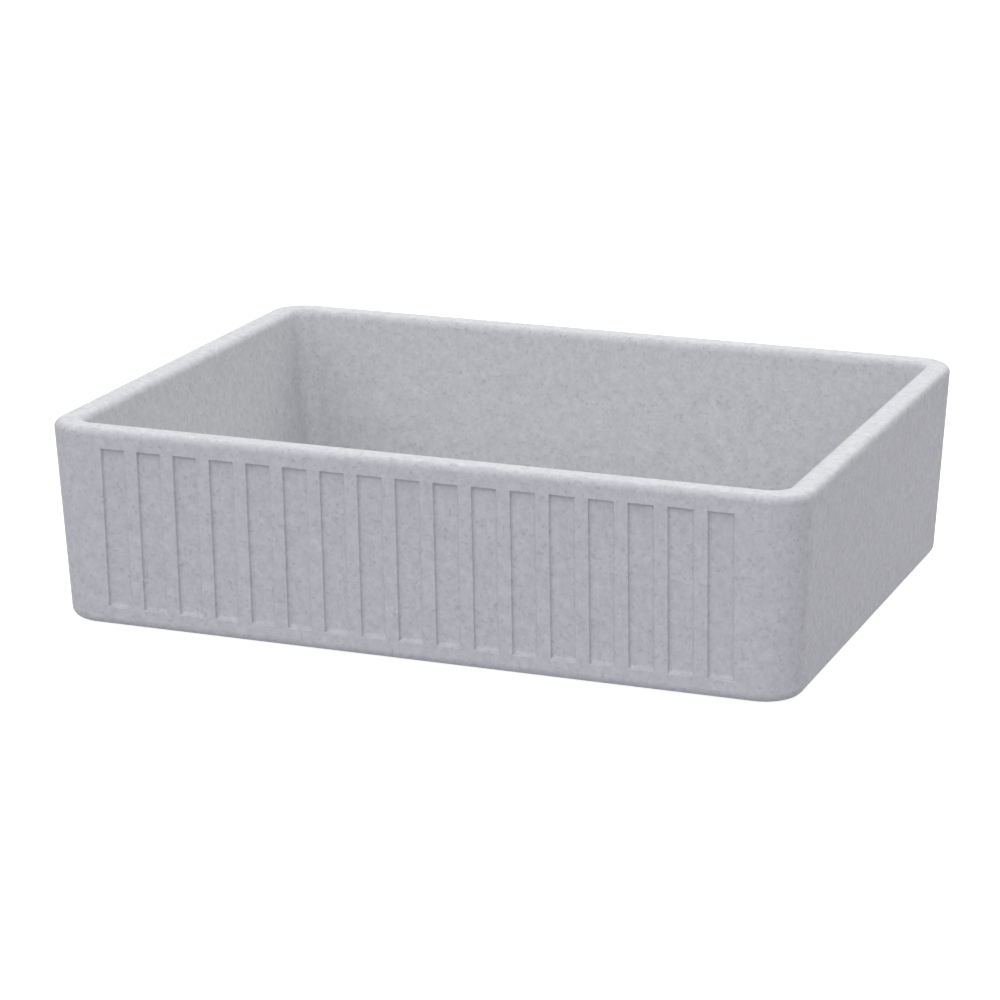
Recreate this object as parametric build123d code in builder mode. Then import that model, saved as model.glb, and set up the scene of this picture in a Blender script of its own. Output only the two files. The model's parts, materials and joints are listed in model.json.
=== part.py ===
from build123d import *
from math import cos, hypot, isclose, pi, radians, sin, tan
import os

# Farmhouse apron front sink with a fluted front, and the basket strainer in its drain hole.
# Millimetres. +Z is up, -Y is the fluted front and +X is on the right of someone who stands
# before the sink. The origin is the middle of the base, on the face that carries the sink.

# ---- Basin, outside ----
sink_width = 762.0              # at the rim, left to right
sink_depth = 575.0              # at the rim, front to back
sink_height = 199.0
outer_draft = 2.7               # degrees: every outer wall leans in towards the base
outer_corner_radius = 38.8
rim_outer_radius = 7.0
base_edge_radius = 10.0

# ---- Basin, rim and bowl ----
side_wall = 26.0                # left and right wall at the rim
front_wall = 28.5               # front and back wall at the rim
rim_inner_radius = 8.5
bowl_side_draft = 8.2           # degrees, left and right walls of the bowl
bowl_front_draft = 3.0          # degrees, front and back walls of the bowl
bowl_corner_radius = 16.0
floor_edge_radius = 14.0
floor_fall = 1.2                # degrees: the bowl's floor falls to the drain

# ---- Flutes of the apron ----
flute_pitch = 38.0
flute_width = 24.7
flute_depth = 4.2
flute_draft = 10.0              # degrees: the walls of a flute lean outwards
flute_top_margin = 19.2         # from the rim down to the flutes, along the leaning face
flute_foot_margin = 19.7        # from the flutes down to the base, along the leaning face
flute_side_margin = 62.0        # least plain apron beside the outer flutes
flute_floor_radius = 3.1
flute_edge_radius = 0.8

# ---- Drain hole ----
drain_hole_radius = 45.0
drain_floor_thickness = 18.0    # clamped between the flange and the nut
seat_depth = 3.5                # recess that takes the flange
seat_clearance = 2.5            # round the flange
seat_edge_radius = 1.2
hole_edge_chamfer = 1.0
base_recess_margin = 25.0       # from the hole to the edge of the recess in the base
base_recess_depth = 3.0

# ---- Strainer body, clamped in the drain hole ----
flange_lap = 12.0               # from the hole to the flange's rim
flange_thickness = 1.5
flange_edge_radius = 0.7
putty_thickness = 1.5
putty_margin = 2.0              # from the putty's edges to the hole and to the flange's rim
mouth_flare = 3.1               # from the cup to where the flange turns down into it
mouth_depth = 4.5
mouth_bend_radius = 2.0
cup_clearance = 2.1             # from the thread of the cup to the hole
cup_wall = 2.0
cup_foot_radius = 5.0
strainer_depth = 50.0           # from the flange's top to the floor of the cup
thread_pitch = 2.2
thread_depth = 0.6
thread_crest = 0.8
cup_thread_top = 14.5           # from the flange down to the thread
cup_thread_length = 28.0

# ---- Clamping parts under the floor ----
ring_clearance = 0.3            # soft rings round the cup
gasket_lap = 10.5               # from the hole to the rings' outer edge
gasket_thickness = 3.5
friction_ring_thickness = 1.2
nut_clearance = 0.05
nut_height = 12.0
nut_hub_wall = 4.6
nut_flange_lap = 11.1           # from the cup to the edge of the nut's flange
nut_flange_thickness = 4.0
nut_lug_count = 6
nut_lug_width = 6.0

# ---- Outlet ----
outlet_thread_radius = 23.9     # 1-1/2 in pipe thread, over its crests
outlet_neck_length = 1.5        # relief between the flange and the thread
outlet_neck_depth = 1.0
outlet_bore_radius = 19.5
outlet_end_chamfer = 0.8
spud_flange_width = 10.5        # from the bore to the flange's edge
spud_flange_thickness = 4.0
spud_length = 26.0
crosspiece_seat_width = 1.7     # ledge in the bore
crosspiece_gap = 4.0            # below the stopper's nut
crosspiece_thickness = 2.0
crosspiece_arm_count = 3
crosspiece_arm_width = 4.0
crosspiece_hub_radius = 7.5
crosspiece_fit = 0.05

# ---- Stopper and its post ----
post_radius = 3.0
stopper_stroke = 8.0
stop_gap = 0.3                  # between faces that meet at the end of the stroke
seal_lap = 10.5                 # from the outlet's bore to the seal's edge
seal_thickness = 4.0
seal_bevel = 1.5
washer_margin = 8.0             # from the washer to the seal's edge
washer_thickness = 1.2
collar_radius = 5.0
collar_thickness = 2.0
post_nut_across_flats = 10.0
post_nut_thickness = 5.0
post_nut_chamfer = 0.6
clip_radius = 4.4
clip_thickness = 1.2
clip_groove_depth = 0.6
clip_slot_width = 3.6
clip_clearance = 0.5            # from the clip to the hole of the crosspiece
clip_drop = 1.6                 # from the crosspiece down to the clip
post_tail = 6.0                 # below the clip, so that the raised post stays in the hole
post_end_chamfer = 0.8

# ---- Basket ----
basket_sheet = 1.0
basket_gap = 0.3                # between the basket's lip and the mouth it rests in
basket_lip_margin = 1.5         # from the lip to the edge of the mouth
basket_lip_bend = 2.5
basket_wall_gap = 1.4           # from the basket's wall to the cup's
basket_taper = 3.0              # the basket is narrower at its foot
basket_foot_bend = 4.5
bush_flange_thickness = 1.0
bush_flange_radius = 8.0
bush_radius = 5.5
bush_height = 8.0               # above the basket's floor
bush_clearance = 0.05           # running fit round the post
bush_seat_clearance = 0.05      # round the bush in the basket's floor
floor_hole_radius = 2.0
floor_hole_first_ring = 13.5
floor_hole_ring_step = 7.0
floor_hole_spacing = 8.5
slot_count = 24
slot_width = 3.2
slot_foot_margin = 6.5          # from the basket's floor up to the slots
slot_lip_margin = 3.5           # from the slots up to the lip's bend

# ---- Knob ----
knob_gap = 2.0                  # above the bush
knob_height = 16.0
knob_neck_radius = 5.5
knob_neck_height = 4.0
knob_flare_height = 2.0
knob_radius = 9.5
knob_under_radius = 1.2
knob_crown_radius = 3.0
knob_socket_depth = 9.0

# ---- Heights and radii that follow ----
cup_radius = drain_hole_radius - cup_clearance
cup_inner_radius = cup_radius - cup_wall
mouth_radius = cup_radius + mouth_flare
flange_radius = drain_hole_radius + flange_lap
gasket_radius = drain_hole_radius + gasket_lap
base_recess_radius = drain_hole_radius + base_recess_margin
nut_hub_radius = cup_radius + nut_hub_wall
nut_flange_radius = cup_radius + nut_flange_lap
spud_flange_radius = outlet_bore_radius + spud_flange_width
crosspiece_seat_radius = outlet_bore_radius + crosspiece_seat_width
seal_radius = outlet_bore_radius + seal_lap
washer_radius = seal_radius - washer_margin
basket_wall_radius = cup_inner_radius - basket_wall_gap
basket_foot_radius = basket_wall_radius - basket_taper
basket_lip_radius = mouth_radius - basket_lip_margin
seat_z = base_recess_depth + drain_floor_thickness
bowl_floor_z = seat_z + seat_depth
seat_radius = flange_radius + seat_clearance
flange_low_z = seat_z + putty_thickness
flange_top_z = flange_low_z + flange_thickness
mouth_low_z = flange_top_z - mouth_depth
cup_floor_z = flange_top_z - strainer_depth
cup_foot_z = cup_floor_z - cup_wall
gasket_low_z = base_recess_depth - gasket_thickness
friction_ring_low_z = gasket_low_z - friction_ring_thickness
nut_bore_radius = cup_radius + nut_clearance
spud_flange_low_z = cup_foot_z - spud_flange_thickness
spud_low_z = cup_foot_z - spud_length
outlet_thread_z = spud_flange_low_z - outlet_neck_length
outlet_neck_radius = outlet_thread_radius - outlet_neck_depth
seal_low_z = cup_floor_z + stop_gap
seal_top_z = seal_low_z + seal_thickness
washer_top_z = seal_top_z + washer_thickness
collar_top_z = washer_top_z + collar_thickness
bush_low_z = collar_top_z + stopper_stroke + stop_gap
basket_foot_z = bush_low_z + bush_flange_thickness
basket_floor_z = basket_foot_z + basket_sheet
bush_top_z = basket_floor_z + bush_height
knob_low_z = bush_top_z + knob_gap
knob_top_z = knob_low_z + knob_height
post_top_z = knob_low_z + knob_socket_depth
post_nut_low_z = seal_low_z - post_nut_thickness
crosspiece_top_z = post_nut_low_z - crosspiece_gap
crosspiece_low_z = crosspiece_top_z - crosspiece_thickness
clip_top_z = crosspiece_low_z - clip_drop
clip_low_z = clip_top_z - clip_thickness
clip_bore_radius = post_radius - clip_groove_depth
post_low_z = clip_low_z - post_tail

# The basket's lip lies along the cone of the mouth, one even gap above it.
mouth_slope = mouth_depth / (mouth_radius - cup_inner_radius)
lip_rise = basket_gap * hypot(1, mouth_slope)
lip_outer_z = mouth_low_z + mouth_slope * (basket_lip_radius - cup_inner_radius) + lip_rise
lip_inner_z = mouth_low_z + mouth_slope * (basket_wall_radius - cup_inner_radius) + lip_rise

os.makedirs("parts", exist_ok=True)


def leaning_outline(half_top, lean, top_z, low_z):
    """Corners of a block seen from one side, its walls leaning in towards the foot."""
    return (-half_top, top_z), (half_top, top_z), (half_top - lean, low_z), (lean - half_top, low_z)


def drafted_block(width, depth, top_z, low_z, side_draft, front_draft):
    """A block with leaning walls. Width and depth are those of its top face."""
    side_lean = (top_z - low_z) * tan(radians(side_draft))
    front_lean = (top_z - low_z) * tan(radians(front_draft))
    with BuildPart() as block:
        with BuildSketch(Plane.XZ):
            Polygon(*leaning_outline(width / 2, side_lean, top_z, low_z), align=None)
        extrude(amount=depth / 2, both=True)
        with BuildSketch(Plane.YZ):
            Polygon(*leaning_outline(depth / 2, front_lean, top_z, low_z), align=None)
        extrude(amount=width / 2, both=True, mode=Mode.INTERSECT)
    return block.part


def leaning_edges(part):
    """The edges at the corners between the leaning walls."""
    return part.edges().filter_by(Axis.X, reverse=True).filter_by(Axis.Y, reverse=True)


def thread_grooves(radius, top_z, length):
    """The grooves of a thread, as rings that are cut from a shaft."""
    groove_height = thread_pitch - thread_crest
    with BuildPart() as grooves:
        with BuildSketch(Plane.XZ):
            for turn in range(int(length / thread_pitch)):
                groove_z = top_z - (turn + 0.5) * thread_pitch
                Polygon(
                    (radius - thread_depth, groove_z),
                    (radius + thread_depth, groove_z - groove_height),
                    (radius + thread_depth, groove_z + groove_height),
                    align=None,
                )
        revolve(axis=Axis.Z)
    return grooves.part


# ---- Space of the bowl: leaning walls over a floor that is a very flat cone ----
bowl_width = sink_width - 2 * side_wall
bowl_depth = sink_depth - 2 * front_wall
floor_fall_slope = tan(radians(floor_fall))

with BuildPart() as bowl_space:
    add(drafted_block(bowl_width, bowl_depth, sink_height, 0, bowl_side_draft, bowl_front_draft))
    fillet(leaning_edges(bowl_space), radius=bowl_corner_radius)
    with BuildSketch(Plane.XZ):
        Polygon(
            (0, bowl_floor_z - seat_radius * floor_fall_slope),
            (bowl_width, bowl_floor_z + (bowl_width - seat_radius) * floor_fall_slope),
            (bowl_width, sink_height),
            (0, sink_height),
            align=None,
        )
    revolve(axis=Axis.Z, mode=Mode.INTERSECT)
    floor_face = bowl_space.faces().filter_by(GeomType.CONE)[0]
    fillet(floor_face.edges().filter_by(GeomType.LINE, reverse=True), radius=floor_edge_radius)

# ---- Space of one flute, square to the leaning front ----
flute_height = sink_height / cos(radians(outer_draft)) - flute_top_margin - flute_foot_margin
front_plane = Plane(
    origin=(0, -sink_depth / 2, sink_height),
    x_dir=(1, 0, 0),
    z_dir=(0, -cos(radians(outer_draft)), -sin(radians(outer_draft))),
)

with BuildPart() as flute_space:
    with BuildSketch(front_plane):
        with Locations((0, -flute_top_margin - flute_height / 2)):
            Rectangle(flute_width, flute_height)
    extrude(amount=-flute_depth, taper=flute_draft)
    flute_floor = flute_space.faces().sort_by(Axis(front_plane.origin, front_plane.z_dir))[0]
    fillet(flute_floor.edges(), radius=flute_floor_radius)

# ---- Basin ----
flute_count = 1 + int((sink_width - 2 * flute_side_margin - flute_width) / flute_pitch)

with BuildPart() as sink_body:
    add(drafted_block(sink_width, sink_depth, sink_height, 0, outer_draft, outer_draft))
    fillet(leaning_edges(sink_body), radius=outer_corner_radius)
    fillet(sink_body.faces().sort_by(Axis.Z)[0].edges(), radius=base_edge_radius)
    add(bowl_space.part, mode=Mode.SUBTRACT)
    rim_face = sink_body.faces().sort_by(Axis.Z)[-1]
    fillet(rim_face.outer_wire().edges(), radius=rim_outer_radius)
    rim_face = sink_body.faces().sort_by(Axis.Z)[-1]
    fillet(rim_face.inner_wires()[0].edges(), radius=rim_inner_radius)
    with GridLocations(flute_pitch, flute_pitch, flute_count, 1):
        add(flute_space.part, mode=Mode.SUBTRACT)
    apron_face = sink_body.faces().filter_by(front_plane).sort_by(Axis.Y)[0]
    fillet(apron_face.inner_wires().edges(), radius=flute_edge_radius)
    with Locations((0, 0, bowl_floor_z)):
        CounterBoreHole(
            radius=drain_hole_radius,
            counter_bore_radius=seat_radius,
            counter_bore_depth=seat_depth,
        )
    with BuildSketch():
        Circle(base_recess_radius)
    extrude(amount=base_recess_depth, mode=Mode.SUBTRACT)
    seat_face = sink_body.faces().filter_by(Plane.XY).group_by(Axis.Z)[-2][0]
    chamfer(seat_face.inner_wires()[0].edges(), length=hole_edge_chamfer)
    round_edges = sink_body.edges().filter_by(GeomType.CIRCLE)
    seat_edges = round_edges.filter_by(lambda edge: isclose(edge.radius, seat_radius))
    fillet(seat_edges.sort_by(Axis.Z)[-1], radius=seat_edge_radius)

# ---- Putty under the flange ----
with BuildPart() as putty_ring:
    with BuildSketch(Plane.XY.offset(seat_z)):
        Circle(flange_radius - putty_margin)
        Circle(drain_hole_radius + putty_margin, mode=Mode.SUBTRACT)
    extrude(amount=putty_thickness)

# ---- Strainer body: flange, conical mouth, threaded cup and its floor ----
with BuildPart() as strainer_body:
    with BuildSketch(Plane.XZ):
        with BuildLine():
            FilletPolyline(
                (flange_radius, flange_low_z),
                (mouth_radius, flange_low_z),
                (cup_radius, mouth_low_z),
                (cup_radius, cup_foot_z),
                (outlet_bore_radius, cup_foot_z),
                (outlet_bore_radius, cup_floor_z),
                (cup_inner_radius, cup_floor_z),
                (cup_inner_radius, mouth_low_z),
                (mouth_radius, flange_top_z),
                (flange_radius, flange_top_z),
                radius=(
                    0,
                    0,
                    0,
                    cup_foot_radius,
                    0,
                    0,
                    cup_foot_radius - cup_wall,
                    mouth_bend_radius,
                    mouth_bend_radius,
                    flange_edge_radius,
                ),
                close=True,
            )
        make_face()
    revolve(axis=Axis.Z)
    cup_grooves = thread_grooves(cup_radius, flange_low_z - cup_thread_top, cup_thread_length)
    add(cup_grooves, mode=Mode.SUBTRACT)

# ---- Soft ring and hard ring under the floor ----
with BuildPart() as rubber_gasket:
    with BuildSketch(Plane.XY.offset(gasket_low_z)):
        Circle(gasket_radius)
        Circle(cup_radius + ring_clearance, mode=Mode.SUBTRACT)
    extrude(amount=gasket_thickness)

with BuildPart() as friction_ring:
    with BuildSketch(Plane.XY.offset(friction_ring_low_z)):
        Circle(gasket_radius)
        Circle(cup_radius + ring_clearance, mode=Mode.SUBTRACT)
    extrude(amount=friction_ring_thickness)

# ---- Lock nut: flange, hub and lugs ----
with BuildPart() as lock_nut:
    with BuildSketch(Plane.XY.offset(friction_ring_low_z)):
        Circle(nut_flange_radius)
    extrude(amount=-nut_flange_thickness)
    with BuildSketch(Plane.XY.offset(friction_ring_low_z)):
        Circle(nut_hub_radius)
        with PolarLocations(nut_hub_radius, nut_lug_count):
            Rectangle(2 * (nut_flange_radius - nut_hub_radius), nut_lug_width)
        Circle(nut_flange_radius, mode=Mode.INTERSECT)
    extrude(amount=-nut_height)
    with BuildSketch(Plane.XY.offset(friction_ring_low_z)):
        Circle(nut_bore_radius)
    extrude(amount=-nut_height, mode=Mode.SUBTRACT)

# ---- Outlet: flange brazed to the cup's floor, threaded pipe, ledge for the crosspiece ----
with BuildPart() as outlet_spud:
    with BuildSketch(Plane.XZ):
        Polygon(
            (spud_flange_radius, cup_foot_z),
            (spud_flange_radius, spud_flange_low_z),
            (outlet_neck_radius, spud_flange_low_z),
            (outlet_neck_radius, outlet_thread_z),
            (outlet_thread_radius, outlet_thread_z),
            (outlet_thread_radius, spud_low_z + outlet_end_chamfer),
            (outlet_thread_radius - outlet_end_chamfer, spud_low_z),
            (outlet_bore_radius, spud_low_z),
            (outlet_bore_radius, crosspiece_low_z),
            (crosspiece_seat_radius, crosspiece_low_z),
            (crosspiece_seat_radius, cup_foot_z),
            align=None,
        )
    revolve(axis=Axis.Z)
    outlet_thread_length = outlet_thread_z - spud_low_z - outlet_end_chamfer
    add(thread_grooves(outlet_thread_radius, outlet_thread_z, outlet_thread_length), mode=Mode.SUBTRACT)

# ---- Crosspiece: a ring, three arms and a hub that guides the foot of the post ----
with BuildPart() as crosspiece:
    with BuildSketch(Plane.XY.offset(crosspiece_low_z)):
        Circle(crosspiece_seat_radius - crosspiece_fit)
        Circle(outlet_bore_radius, mode=Mode.SUBTRACT)
        with PolarLocations(outlet_bore_radius / 2, crosspiece_arm_count):
            Rectangle(outlet_bore_radius, crosspiece_arm_width)
        Circle(crosspiece_hub_radius)
        Circle(clip_radius + clip_clearance, mode=Mode.SUBTRACT)
        Circle(crosspiece_seat_radius - crosspiece_fit, mode=Mode.INTERSECT)
    extrude(amount=crosspiece_thickness)

# ---- Basket: lip, wall and floor in one sheet, with round holes and slots ----
with BuildPart() as basket_cup:
    with BuildSketch(Plane.XZ):
        with BuildLine():
            FilletPolyline(
                (basket_lip_radius, lip_outer_z),
                (basket_wall_radius, lip_inner_z),
                (basket_foot_radius, basket_foot_z),
                (bush_radius + bush_seat_clearance, basket_foot_z),
                radius=(basket_lip_bend, basket_foot_bend),
            )
            offset(amount=basket_sheet, side=Side.RIGHT)
        make_face()
    revolve(axis=Axis.Z)
    last_ring = basket_foot_radius - basket_foot_bend - floor_hole_radius
    ring_count = 1 + int((last_ring - floor_hole_first_ring) / floor_hole_ring_step)
    with BuildSketch(Plane.XY.offset(basket_foot_z)):
        for ring in range(ring_count):
            ring_radius = floor_hole_first_ring + ring * floor_hole_ring_step
            with PolarLocations(ring_radius, int(2 * pi * ring_radius / floor_hole_spacing)):
                Circle(floor_hole_radius)
    extrude(amount=basket_sheet, mode=Mode.SUBTRACT)
    slot_low_z = basket_floor_z + slot_foot_margin
    slot_height = lip_inner_z - slot_lip_margin - slot_low_z
    for turn in range(slot_count):
        with BuildSketch(Plane.YZ.rotated((0, 0, turn * 360 / slot_count))):
            with Locations((0, slot_low_z + slot_height / 2)):
                SlotOverall(slot_height, slot_width, rotation=90)
        extrude(amount=basket_lip_radius, mode=Mode.SUBTRACT)

# ---- Bush: guides the post in the basket's floor ----
with BuildPart() as post_bush:
    with BuildSketch(Plane.XZ):
        Polygon(
            (post_radius + bush_clearance, bush_low_z),
            (bush_flange_radius, bush_low_z),
            (bush_flange_radius, basket_foot_z),
            (bush_radius, basket_foot_z),
            (bush_radius, bush_top_z),
            (post_radius + bush_clearance, bush_top_z),
            align=None,
        )
    revolve(axis=Axis.Z)

# ---- Post: a rod with a collar above the stopper and a groove for the clip ----
with BuildPart() as basket_post:
    with BuildSketch(Plane.XZ):
        Polygon(
            (0, post_top_z),
            (post_radius, post_top_z),
            (post_radius, collar_top_z),
            (collar_radius, collar_top_z),
            (collar_radius, washer_top_z),
            (post_radius, washer_top_z),
            (post_radius, clip_top_z),
            (clip_bore_radius, clip_top_z),
            (clip_bore_radius, clip_low_z),
            (post_radius, clip_low_z),
            (post_radius, post_low_z + post_end_chamfer),
            (post_radius - post_end_chamfer, post_low_z),
            (0, post_low_z),
            align=None,
        )
    revolve(axis=Axis.Z)

# ---- Knob on the post ----
with BuildPart() as basket_knob:
    with BuildSketch(Plane.XZ):
        with BuildLine():
            FilletPolyline(
                (post_radius, knob_low_z),
                (knob_neck_radius, knob_low_z),
                (knob_neck_radius, knob_low_z + knob_neck_height),
                (knob_radius, knob_low_z + knob_neck_height + knob_flare_height),
                (knob_radius, knob_top_z),
                (0, knob_top_z),
                (0, post_top_z),
                (post_radius, post_top_z),
                radius=(0, 0, knob_under_radius, knob_under_radius, knob_crown_radius, 0, 0, 0),
                close=True,
            )
        make_face()
    revolve(axis=Axis.Z)

# ---- Stopper: backing washer, rubber seal and the nut that holds them on the post ----
with BuildPart() as stopper_washer:
    with BuildSketch(Plane.XY.offset(seal_top_z)):
        Circle(washer_radius)
        Circle(post_radius, mode=Mode.SUBTRACT)
    extrude(amount=washer_thickness)

with BuildPart() as stopper_seal:
    with BuildSketch(Plane.XZ):
        Polygon(
            (post_radius, seal_low_z),
            (seal_radius - seal_bevel, seal_low_z),
            (seal_radius, seal_low_z + seal_bevel),
            (seal_radius, seal_top_z),
            (post_radius, seal_top_z),
            align=None,
        )
    revolve(axis=Axis.Z)

with BuildPart() as stopper_nut:
    with BuildSketch(Plane.XY.offset(post_nut_low_z)):
        RegularPolygon(post_nut_across_flats / 2, side_count=6, major_radius=False)
        Circle(post_radius, mode=Mode.SUBTRACT)
    extrude(amount=post_nut_thickness)
    nut_corner_radius = post_nut_across_flats / 2 / cos(radians(30))
    with BuildSketch(Plane.XZ):
        Polygon(
            (0, post_nut_low_z),
            (nut_corner_radius - post_nut_chamfer, post_nut_low_z),
            (nut_corner_radius, post_nut_low_z + post_nut_chamfer),
            (nut_corner_radius, seal_low_z),
            (0, seal_low_z),
            align=None,
        )
    revolve(axis=Axis.Z, mode=Mode.INTERSECT)

# ---- Clip: an open ring in the groove at the foot of the post ----
with BuildPart() as post_clip:
    with BuildSketch(Plane.XY.offset(clip_low_z)):
        Circle(clip_radius)
        Circle(clip_bore_radius, mode=Mode.SUBTRACT)
        with Locations((clip_radius, 0)):
            Rectangle(2 * clip_radius, clip_slot_width, mode=Mode.SUBTRACT)
    extrude(amount=clip_thickness)

# ---- Each piece in a file of its own ----
for name, piece in (
    ("sink_body", sink_body),
    ("putty_ring", putty_ring),
    ("strainer_body", strainer_body),
    ("rubber_gasket", rubber_gasket),
    ("friction_ring", friction_ring),
    ("lock_nut", lock_nut),
    ("outlet_spud", outlet_spud),
    ("crosspiece", crosspiece),
    ("basket_cup", basket_cup),
    ("post_bush", post_bush),
    ("basket_post", basket_post),
    ("basket_knob", basket_knob),
    ("stopper_washer", stopper_washer),
    ("stopper_seal", stopper_seal),
    ("stopper_nut", stopper_nut),
    ("post_clip", post_clip),
):
    piece.part.label = name
    export_step(piece.part, f"parts/{name}.step")
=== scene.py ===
import json
import math

import bpy
from mathutils import Matrix, Vector

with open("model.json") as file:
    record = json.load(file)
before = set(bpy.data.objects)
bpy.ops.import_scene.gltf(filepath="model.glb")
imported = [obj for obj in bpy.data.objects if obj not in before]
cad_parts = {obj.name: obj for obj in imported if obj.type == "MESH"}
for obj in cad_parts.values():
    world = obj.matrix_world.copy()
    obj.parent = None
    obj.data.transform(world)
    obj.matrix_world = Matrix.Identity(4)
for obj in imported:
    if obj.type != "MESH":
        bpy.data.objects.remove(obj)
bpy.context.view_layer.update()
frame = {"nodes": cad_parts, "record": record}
scene = bpy.context.scene

# ---- Camera: lens, place and angles of the photograph ----
AZIMUTH = math.radians(20.8535)
ELEVATION = math.radians(15.8269)
CAMERA_AT = Vector((1.19172, -3.17252, 1.04577))
SENSOR_MM = 36.0
FOCAL_FRAMES = 3.501344  # focal length over the width of the picture
NEAREST_SEEN = 0.05
FARTHEST_SEEN = 100.0


def add_camera():
    right = Vector((math.cos(AZIMUTH), math.sin(AZIMUTH), 0.0))
    back = Vector(
        (
            math.sin(AZIMUTH) * math.cos(ELEVATION),
            -math.cos(AZIMUTH) * math.cos(ELEVATION),
            math.sin(ELEVATION),
        )
    )
    up = back.cross(right)
    turn = Matrix((right, up, back)).transposed().to_4x4()
    data = bpy.data.cameras.new("camera")
    data.sensor_width = SENSOR_MM
    data.lens = FOCAL_FRAMES * SENSOR_MM
    data.clip_start = NEAREST_SEEN
    data.clip_end = FARTHEST_SEEN
    camera = bpy.data.objects.new("camera", data)
    camera.matrix_world = Matrix.Translation(CAMERA_AT) @ turn
    scene.collection.objects.link(camera)
    scene.camera = camera


# ---- Small helpers for node trees ----
def opaque(colour, dimmed=1.0):
    """The colour with an alpha of 1, as a socket takes it, and darker if asked."""
    return (*(dimmed * c for c in colour), 1)


class Nodes:
    """A material's node tree, with its shader."""

    def __init__(self, name):
        self.material = bpy.data.materials.new(name)
        self.material.use_nodes = True
        self.tree = self.material.node_tree
        self.shader = self.tree.nodes["Principled BSDF"]
        self.coords = self.add("ShaderNodeTexCoord").outputs["Object"]

    def add(self, kind, **settings):
        node = self.tree.nodes.new(kind)
        for key, value in settings.items():
            setattr(node, key, value)
        return node

    def put(self, socket, value):
        """Link a socket to the value, or set it where the value is a number or colour."""
        if isinstance(value, bpy.types.NodeSocket):
            self.tree.links.new(value, socket)
        else:
            socket.default_value = value

    def noise(self, scale, detail=2.0, roughness=0.5, at=None):
        node = self.add("ShaderNodeTexNoise")
        self.put(node.inputs["Vector"], self.coords if at is None else at)
        self.put(node.inputs["Scale"], scale)
        self.put(node.inputs["Detail"], detail)
        self.put(node.inputs["Roughness"], roughness)
        return node.outputs["Fac"]

    def moved(self, offset):
        """The coordinates shifted, so that two patterns don't line up."""
        node = self.add("ShaderNodeVectorMath", operation="ADD")
        self.put(node.inputs[0], self.coords)
        self.put(node.inputs[1], offset)
        return node.outputs[0]

    def turned(self):
        """Coordinates that are the same all round the drain's axis, for lathe marks."""
        split = self.add("ShaderNodeSeparateXYZ")
        self.put(split.inputs[0], self.coords)
        squares = [self.math("MULTIPLY", split.outputs[n], split.outputs[n]) for n in (0, 1)]
        joined = self.add("ShaderNodeCombineXYZ")
        self.put(joined.inputs[0], self.math("SQRT", self.math("ADD", *squares)))
        self.put(joined.inputs[1], split.outputs[2])
        return joined.outputs[0]

    def span(self, value, low, high, to_low=0.0, to_high=1.0):
        """The value's range from low to high, stretched to another range and clamped."""
        node = self.add("ShaderNodeMapRange")
        self.put(node.inputs["Value"], value)
        self.put(node.inputs["From Min"], low)
        self.put(node.inputs["From Max"], high)
        self.put(node.inputs["To Min"], to_low)
        self.put(node.inputs["To Max"], to_high)
        return node.outputs["Result"]

    def math(self, operation, a, b=0.0):
        node = self.add("ShaderNodeMath", operation=operation)
        self.put(node.inputs[0], a)
        self.put(node.inputs[1], b)
        return node.outputs[0]

    def mix(self, factor, a, b):
        node = self.add("ShaderNodeMix", data_type="RGBA")
        node.clamp_factor = True
        self.put(node.inputs["Factor"], factor)
        self.put(node.inputs[6], a)
        self.put(node.inputs[7], b)
        return node.outputs[2]

    def bump(self, height, distance, strength, after=None):
        node = self.add("ShaderNodeBump")
        self.put(node.inputs["Strength"], strength)
        self.put(node.inputs["Distance"], distance)
        self.put(node.inputs["Height"], height)
        if after is not None:
            self.put(node.inputs["Normal"], after)
        return node.outputs["Normal"]

    def set(self, **constants):
        """Set sockets of the shader that are the same all over the surface."""
        for key, value in constants.items():
            self.shader.inputs[key.replace("_", " ")].default_value = value

    def cover(self, colour, roughness, normal):
        """Link the shader's sockets that vary over the surface."""
        self.put(self.shader.inputs["Base Color"], colour)
        self.put(self.shader.inputs["Roughness"], roughness)
        self.put(self.shader.inputs["Normal"], normal)


# ---- Speckled stone composite of the basin ----
STONE_DARK = (0.486, 0.491, 0.507)
STONE_LIGHT = (0.628, 0.635, 0.654)
SPECK = (0.38, 0.384, 0.397)
CHIP = (0.75, 0.755, 0.768)
# Noise scales per metre, from soft mottle to the grain that only roughens the surface
MOTTLE_SCALE = 112.0
SPECK_SCALE = 280.0
CHIP_SCALE = 340.0
GRAIN_SCALE = 700.0
# How much of their own colour the dark specks and the light chips show at most
SPECK_STRENGTH = 0.5
CHIP_STRENGTH = 0.25
STONE_ROUGHNESS = (0.56, 0.68)
STONE_SPECULAR = 0.3
MOTTLE_RELIEF = 0.0006
GRAIN_RELIEF = 0.0002


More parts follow.
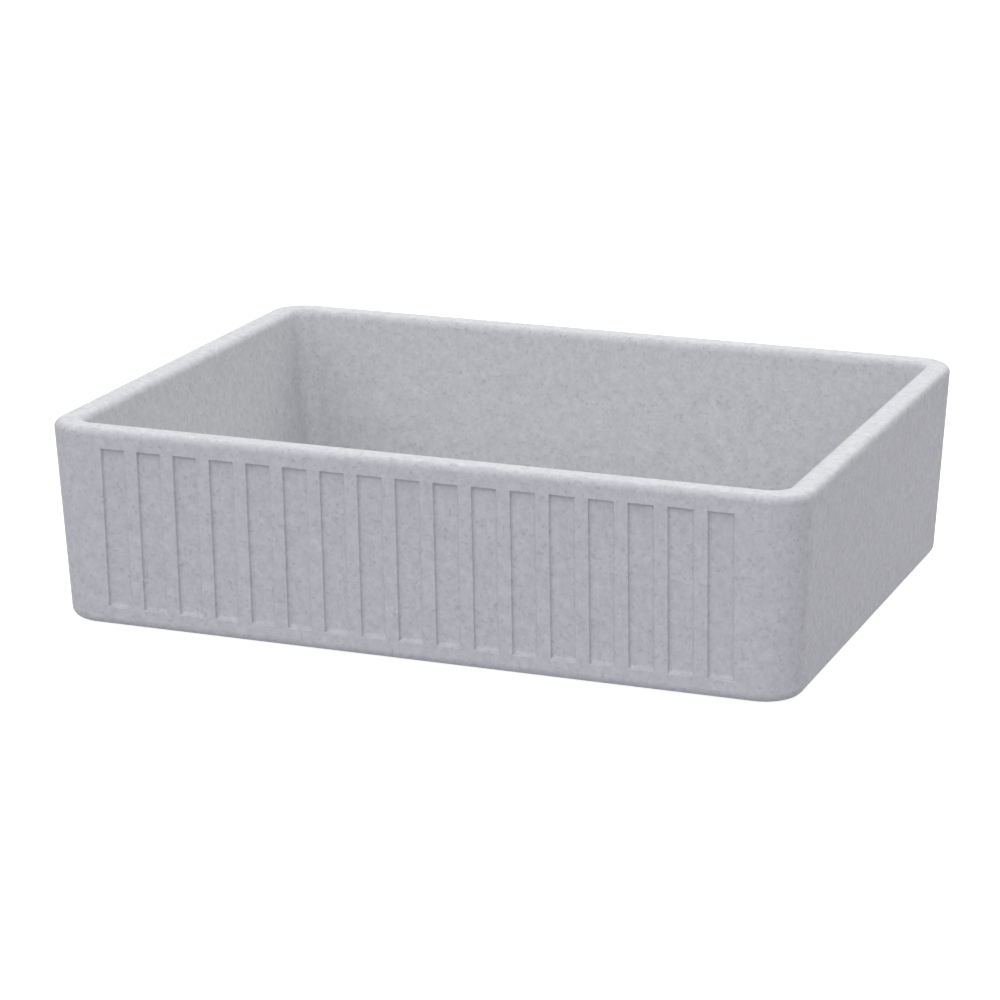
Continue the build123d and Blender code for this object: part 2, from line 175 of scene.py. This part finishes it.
def speckled_stone(name):
    m = Nodes(name)
    mottle = m.noise(MOTTLE_SCALE, detail=2.0, roughness=0.8)
    specks = m.noise(SPECK_SCALE, detail=0.6, at=m.moved((3.1, 1.7, 0.4)))
    chips = m.noise(CHIP_SCALE, detail=0.6, at=m.moved((0.6, 2.9, 5.2)))
    grain = m.noise(GRAIN_SCALE, detail=2.0, roughness=0.6)
    grey = m.mix(m.span(mottle, 0.2, 0.8), opaque(STONE_DARK), opaque(STONE_LIGHT))
    grey = m.mix(m.span(specks, 0.61, 0.76, 0.0, SPECK_STRENGTH), grey, opaque(SPECK))
    grey = m.mix(m.span(chips, 0.65, 0.78, 0.0, CHIP_STRENGTH), grey, opaque(CHIP))
    grained = m.bump(grain, GRAIN_RELIEF, strength=0.3)
    m.set(Specular_IOR_Level=STONE_SPECULAR)
    m.cover(
        colour=grey,
        roughness=m.span(specks, 0.3, 0.7, *STONE_ROUGHNESS),
        normal=m.bump(mottle, MOTTLE_RELIEF, strength=0.2, after=grained),
    )
    return m.material


# ---- Metals ----
TURNED_CLOUD_SCALE = 70.0  # soft uneven patches on spun and turned metal
TURNED_CLOUD_DIM = 0.86
CAST_SKIN_SCALE = 900.0  # the fine skin of a die casting
CAST_CLOUD_SCALE = 60.0
CAST_CLOUD_DIM = 0.7
CAST_RELIEF = 0.00015


def turned_metal(name, colour, roughness, marks, depth):
    """Metal with fine marks that run round the drain's axis, as from spinning or a lathe."""
    m = Nodes(name)
    lines = m.noise(marks, detail=3.0, roughness=0.7, at=m.turned())
    cloud = m.noise(TURNED_CLOUD_SCALE, detail=3.0, roughness=0.55)
    streaks = m.span(lines, 0.3, 0.7, roughness * 0.7, roughness * 1.25)
    patches = m.span(cloud, 0.3, 0.7, 0.0, roughness * 0.2)
    m.set(Metallic=1.0)
    m.cover(
        colour=m.mix(m.span(cloud, 0.3, 0.7), opaque(colour, TURNED_CLOUD_DIM), opaque(colour)),
        roughness=m.math("ADD", streaks, patches),
        normal=m.bump(lines, depth, strength=0.3),
    )
    return m.material


def cast_metal(name, colour):
    """Dull metal with the grainy skin of a die casting."""
    m = Nodes(name)
    skin = m.noise(CAST_SKIN_SCALE, detail=3.0, roughness=0.6)
    cloud = m.noise(CAST_CLOUD_SCALE, detail=3.0, roughness=0.6)
    m.set(Metallic=1.0)
    m.cover(
        colour=m.mix(m.span(cloud, 0.3, 0.75), opaque(colour, CAST_CLOUD_DIM), opaque(colour)),
        roughness=m.span(skin, 0.3, 0.7, 0.42, 0.62),
        normal=m.bump(skin, CAST_RELIEF, strength=0.4),
    )
    return m.material


# ---- Rubber, fibre and putty ----
DULL_SPECULAR = 0.4
DULL_ROUGHNESS_SWING = 0.08
DULL_GRAINS_PER_CLOUD = 9.0


def dull(name, light, dark, roughness, grain, depth):
    """A matte surface with fine grains of two tones, in soft darker patches."""
    m = Nodes(name)
    grains = m.noise(grain, detail=3.0, roughness=0.6)
    cloud = m.noise(grain / DULL_GRAINS_PER_CLOUD, detail=2.0, roughness=0.5)
    tone = m.mix(m.span(grains, 0.3, 0.7), opaque(dark), opaque(light))
    smoothest = roughness - DULL_ROUGHNESS_SWING
    roughest = roughness + DULL_ROUGHNESS_SWING
    m.set(Specular_IOR_Level=DULL_SPECULAR)
    m.cover(
        colour=m.mix(m.span(cloud, 0.4, 0.7, 0.0, 0.5), tone, opaque(dark)),
        roughness=m.span(grains, 0.3, 0.7, smoothest, roughest),
        normal=m.bump(grains, depth, strength=0.35),
    )
    return m.material


def dress_parts():
    """Give each CAD node the look of its material slot."""
    looks = {
        "speckled_stone": speckled_stone("speckled_stone"),
        "plumbers_putty": dull(
            "plumbers_putty",
            light=(0.66, 0.62, 0.52),
            dark=(0.52, 0.48, 0.40),
            roughness=0.82,
            grain=420.0,
            depth=0.0003,
        ),
        "stainless_steel": turned_metal(
            "stainless_steel", (0.50, 0.50, 0.51), roughness=0.37, marks=1800.0, depth=0.00003
        ),
        "polished_steel": turned_metal(
            "polished_steel", (0.78, 0.78, 0.79), roughness=0.09, marks=900.0, depth=0.000006
        ),
        "black_rubber": dull(
            "black_rubber",
            light=(0.035, 0.035, 0.038),
            dark=(0.018, 0.018, 0.02),
            roughness=0.62,
            grain=650.0,
            depth=0.0001,
        ),
        "red_fibre": dull(
            "red_fibre",
            light=(0.40, 0.10, 0.06),
            dark=(0.26, 0.06, 0.035),
            roughness=0.75,
            grain=900.0,
            depth=0.0001,
        ),
        "brass": turned_metal(
            "brass", (0.70, 0.52, 0.24), roughness=0.3, marks=1400.0, depth=0.00003
        ),
        "cast_zinc": cast_metal("cast_zinc", (0.50, 0.51, 0.53)),
    }
    slot_of = {part["node"]: part["material_slot"] for part in frame["record"]["subparts"]}
    for name, node in frame["nodes"].items():
        for slot in node.material_slots:
            slot.material = looks[slot_of[name]]


# ---- Floor: pale, cut out round under the drain as a cabinet's deck is ----
FLOOR_RINGS = (0.066, 1.5, 18.0)  # radii: the cut-out, a middle ring and the far edge
FLOOR_STEPS = 96
FLOOR_DROP = 0.0004  # under the base, so that the two faces don't lie in one plane
FLOOR_GREY = (0.6, 0.6, 0.6)
FLOOR_GLOW = 0.75
FLOOR_ROUGHNESS = 0.9


def floor_material():
    """Pale and glowing a little from above, and see-through from below."""
    m = Nodes("pale_floor")
    m.material.cycles.emission_sampling = "NONE"
    m.set(
        Base_Color=opaque(FLOOR_GREY),
        Emission_Color=(1.0, 1.0, 1.0, 1),
        Emission_Strength=FLOOR_GLOW,
        Roughness=FLOOR_ROUGHNESS,
        Specular_IOR_Level=0.0,
    )
    clear = m.add("ShaderNodeBsdfTransparent")
    sides = m.add("ShaderNodeMixShader")
    m.put(sides.inputs[0], m.add("ShaderNodeNewGeometry").outputs["Backfacing"])
    m.put(sides.inputs[1], m.shader.outputs[0])
    m.put(sides.inputs[2], clear.outputs[0])
    m.put(m.tree.nodes["Material Output"].inputs["Surface"], sides.outputs[0])
    return m.material


def add_floor():
    turns = [2 * math.pi * k / FLOOR_STEPS for k in range(FLOOR_STEPS)]
    points = [
        (radius * math.cos(turn), radius * math.sin(turn), -FLOOR_DROP)
        for radius in FLOOR_RINGS
        for turn in turns
    ]
    quads = []
    for inner in range(0, (len(FLOOR_RINGS) - 1) * FLOOR_STEPS, FLOOR_STEPS):
        outer = inner + FLOOR_STEPS
        for k in range(FLOOR_STEPS):
            after = (k + 1) % FLOOR_STEPS
            quads.append((outer + k, outer + after, inner + after, inner + k))
    mesh = bpy.data.meshes.new("floor")
    mesh.from_pydata(points, [], quads)
    mesh.materials.append(floor_material())
    floor = bpy.data.objects.new("floor", mesh)
    scene.collection.objects.link(floor)
    # The floor shows, but throws no light or shade on the basin.
    floor.visible_diffuse = False
    floor.visible_shadow = False


# ---- Soft studio light: an even surround, and five wide lamps far away ----
LIGHT_FROM_BELOW = (0.360, 0.356, 0.408)
LIGHT_FROM_ABOVE = (0.155, 0.155, 0.155)
HORIZON = 0.15  # the surround blends over this much above and below level
LAMP_WIDTH = math.radians(70)
# Each lamp's name, the direction it stands in, its colour and its strength
LAMPS = (
    ("back_lamp", (0.0, 1.0, 1.0), (1.0, 1.0, 1.0), 2.04),
    ("left_lamp", (-1.0, 0.0, 1.0), (1.0, 1.0, 1.0), 0.76),
    ("right_lamp", (1.0, 0.0, 1.0), (1.0, 1.0, 1.0), 0.75),
    ("front_lamp", (0.0, -1.0, 1.0), (1.015, 1.01, 1.0), 1.01),
    ("low_lamp", (0.0, -1.0, 0.36), (0.973, 0.959, 1.09), 0.71),
)


def add_surround():
    world = bpy.data.worlds.new("studio")
    world.use_nodes = True
    tree = world.node_tree
    heading = tree.nodes.new("ShaderNodeTexCoord")
    height = tree.nodes.new("ShaderNodeSeparateXYZ")
    rise = tree.nodes.new("ShaderNodeMapRange")
    rise.inputs["From Min"].default_value = -HORIZON
    rise.inputs["From Max"].default_value = HORIZON
    blend = tree.nodes.new("ShaderNodeMix")
    blend.data_type = "RGBA"
    blend.inputs[6].default_value = opaque(LIGHT_FROM_BELOW)
    blend.inputs[7].default_value = opaque(LIGHT_FROM_ABOVE)
    tree.links.new(heading.outputs["Generated"], height.inputs[0])
    tree.links.new(height.outputs[2], rise.inputs["Value"])
    tree.links.new(rise.outputs["Result"], blend.inputs["Factor"])
    tree.links.new(blend.outputs[2], tree.nodes["Background"].inputs["Color"])
    scene.world = world


def add_lamps():
    for name, towards, colour, energy in LAMPS:
        data = bpy.data.lights.new(name, "SUN")
        data.energy = energy
        data.color = colour
        data.angle = LAMP_WIDTH
        lamp = bpy.data.objects.new(name, data)
        lamp.rotation_mode = "QUATERNION"
        lamp.rotation_quaternion = Vector(towards).to_track_quat("Z", "Y")
        scene.collection.objects.link(lamp)


add_camera()
dress_parts()
add_floor()
add_surround()
add_lamps()
scene.view_settings.view_transform = "Standard"
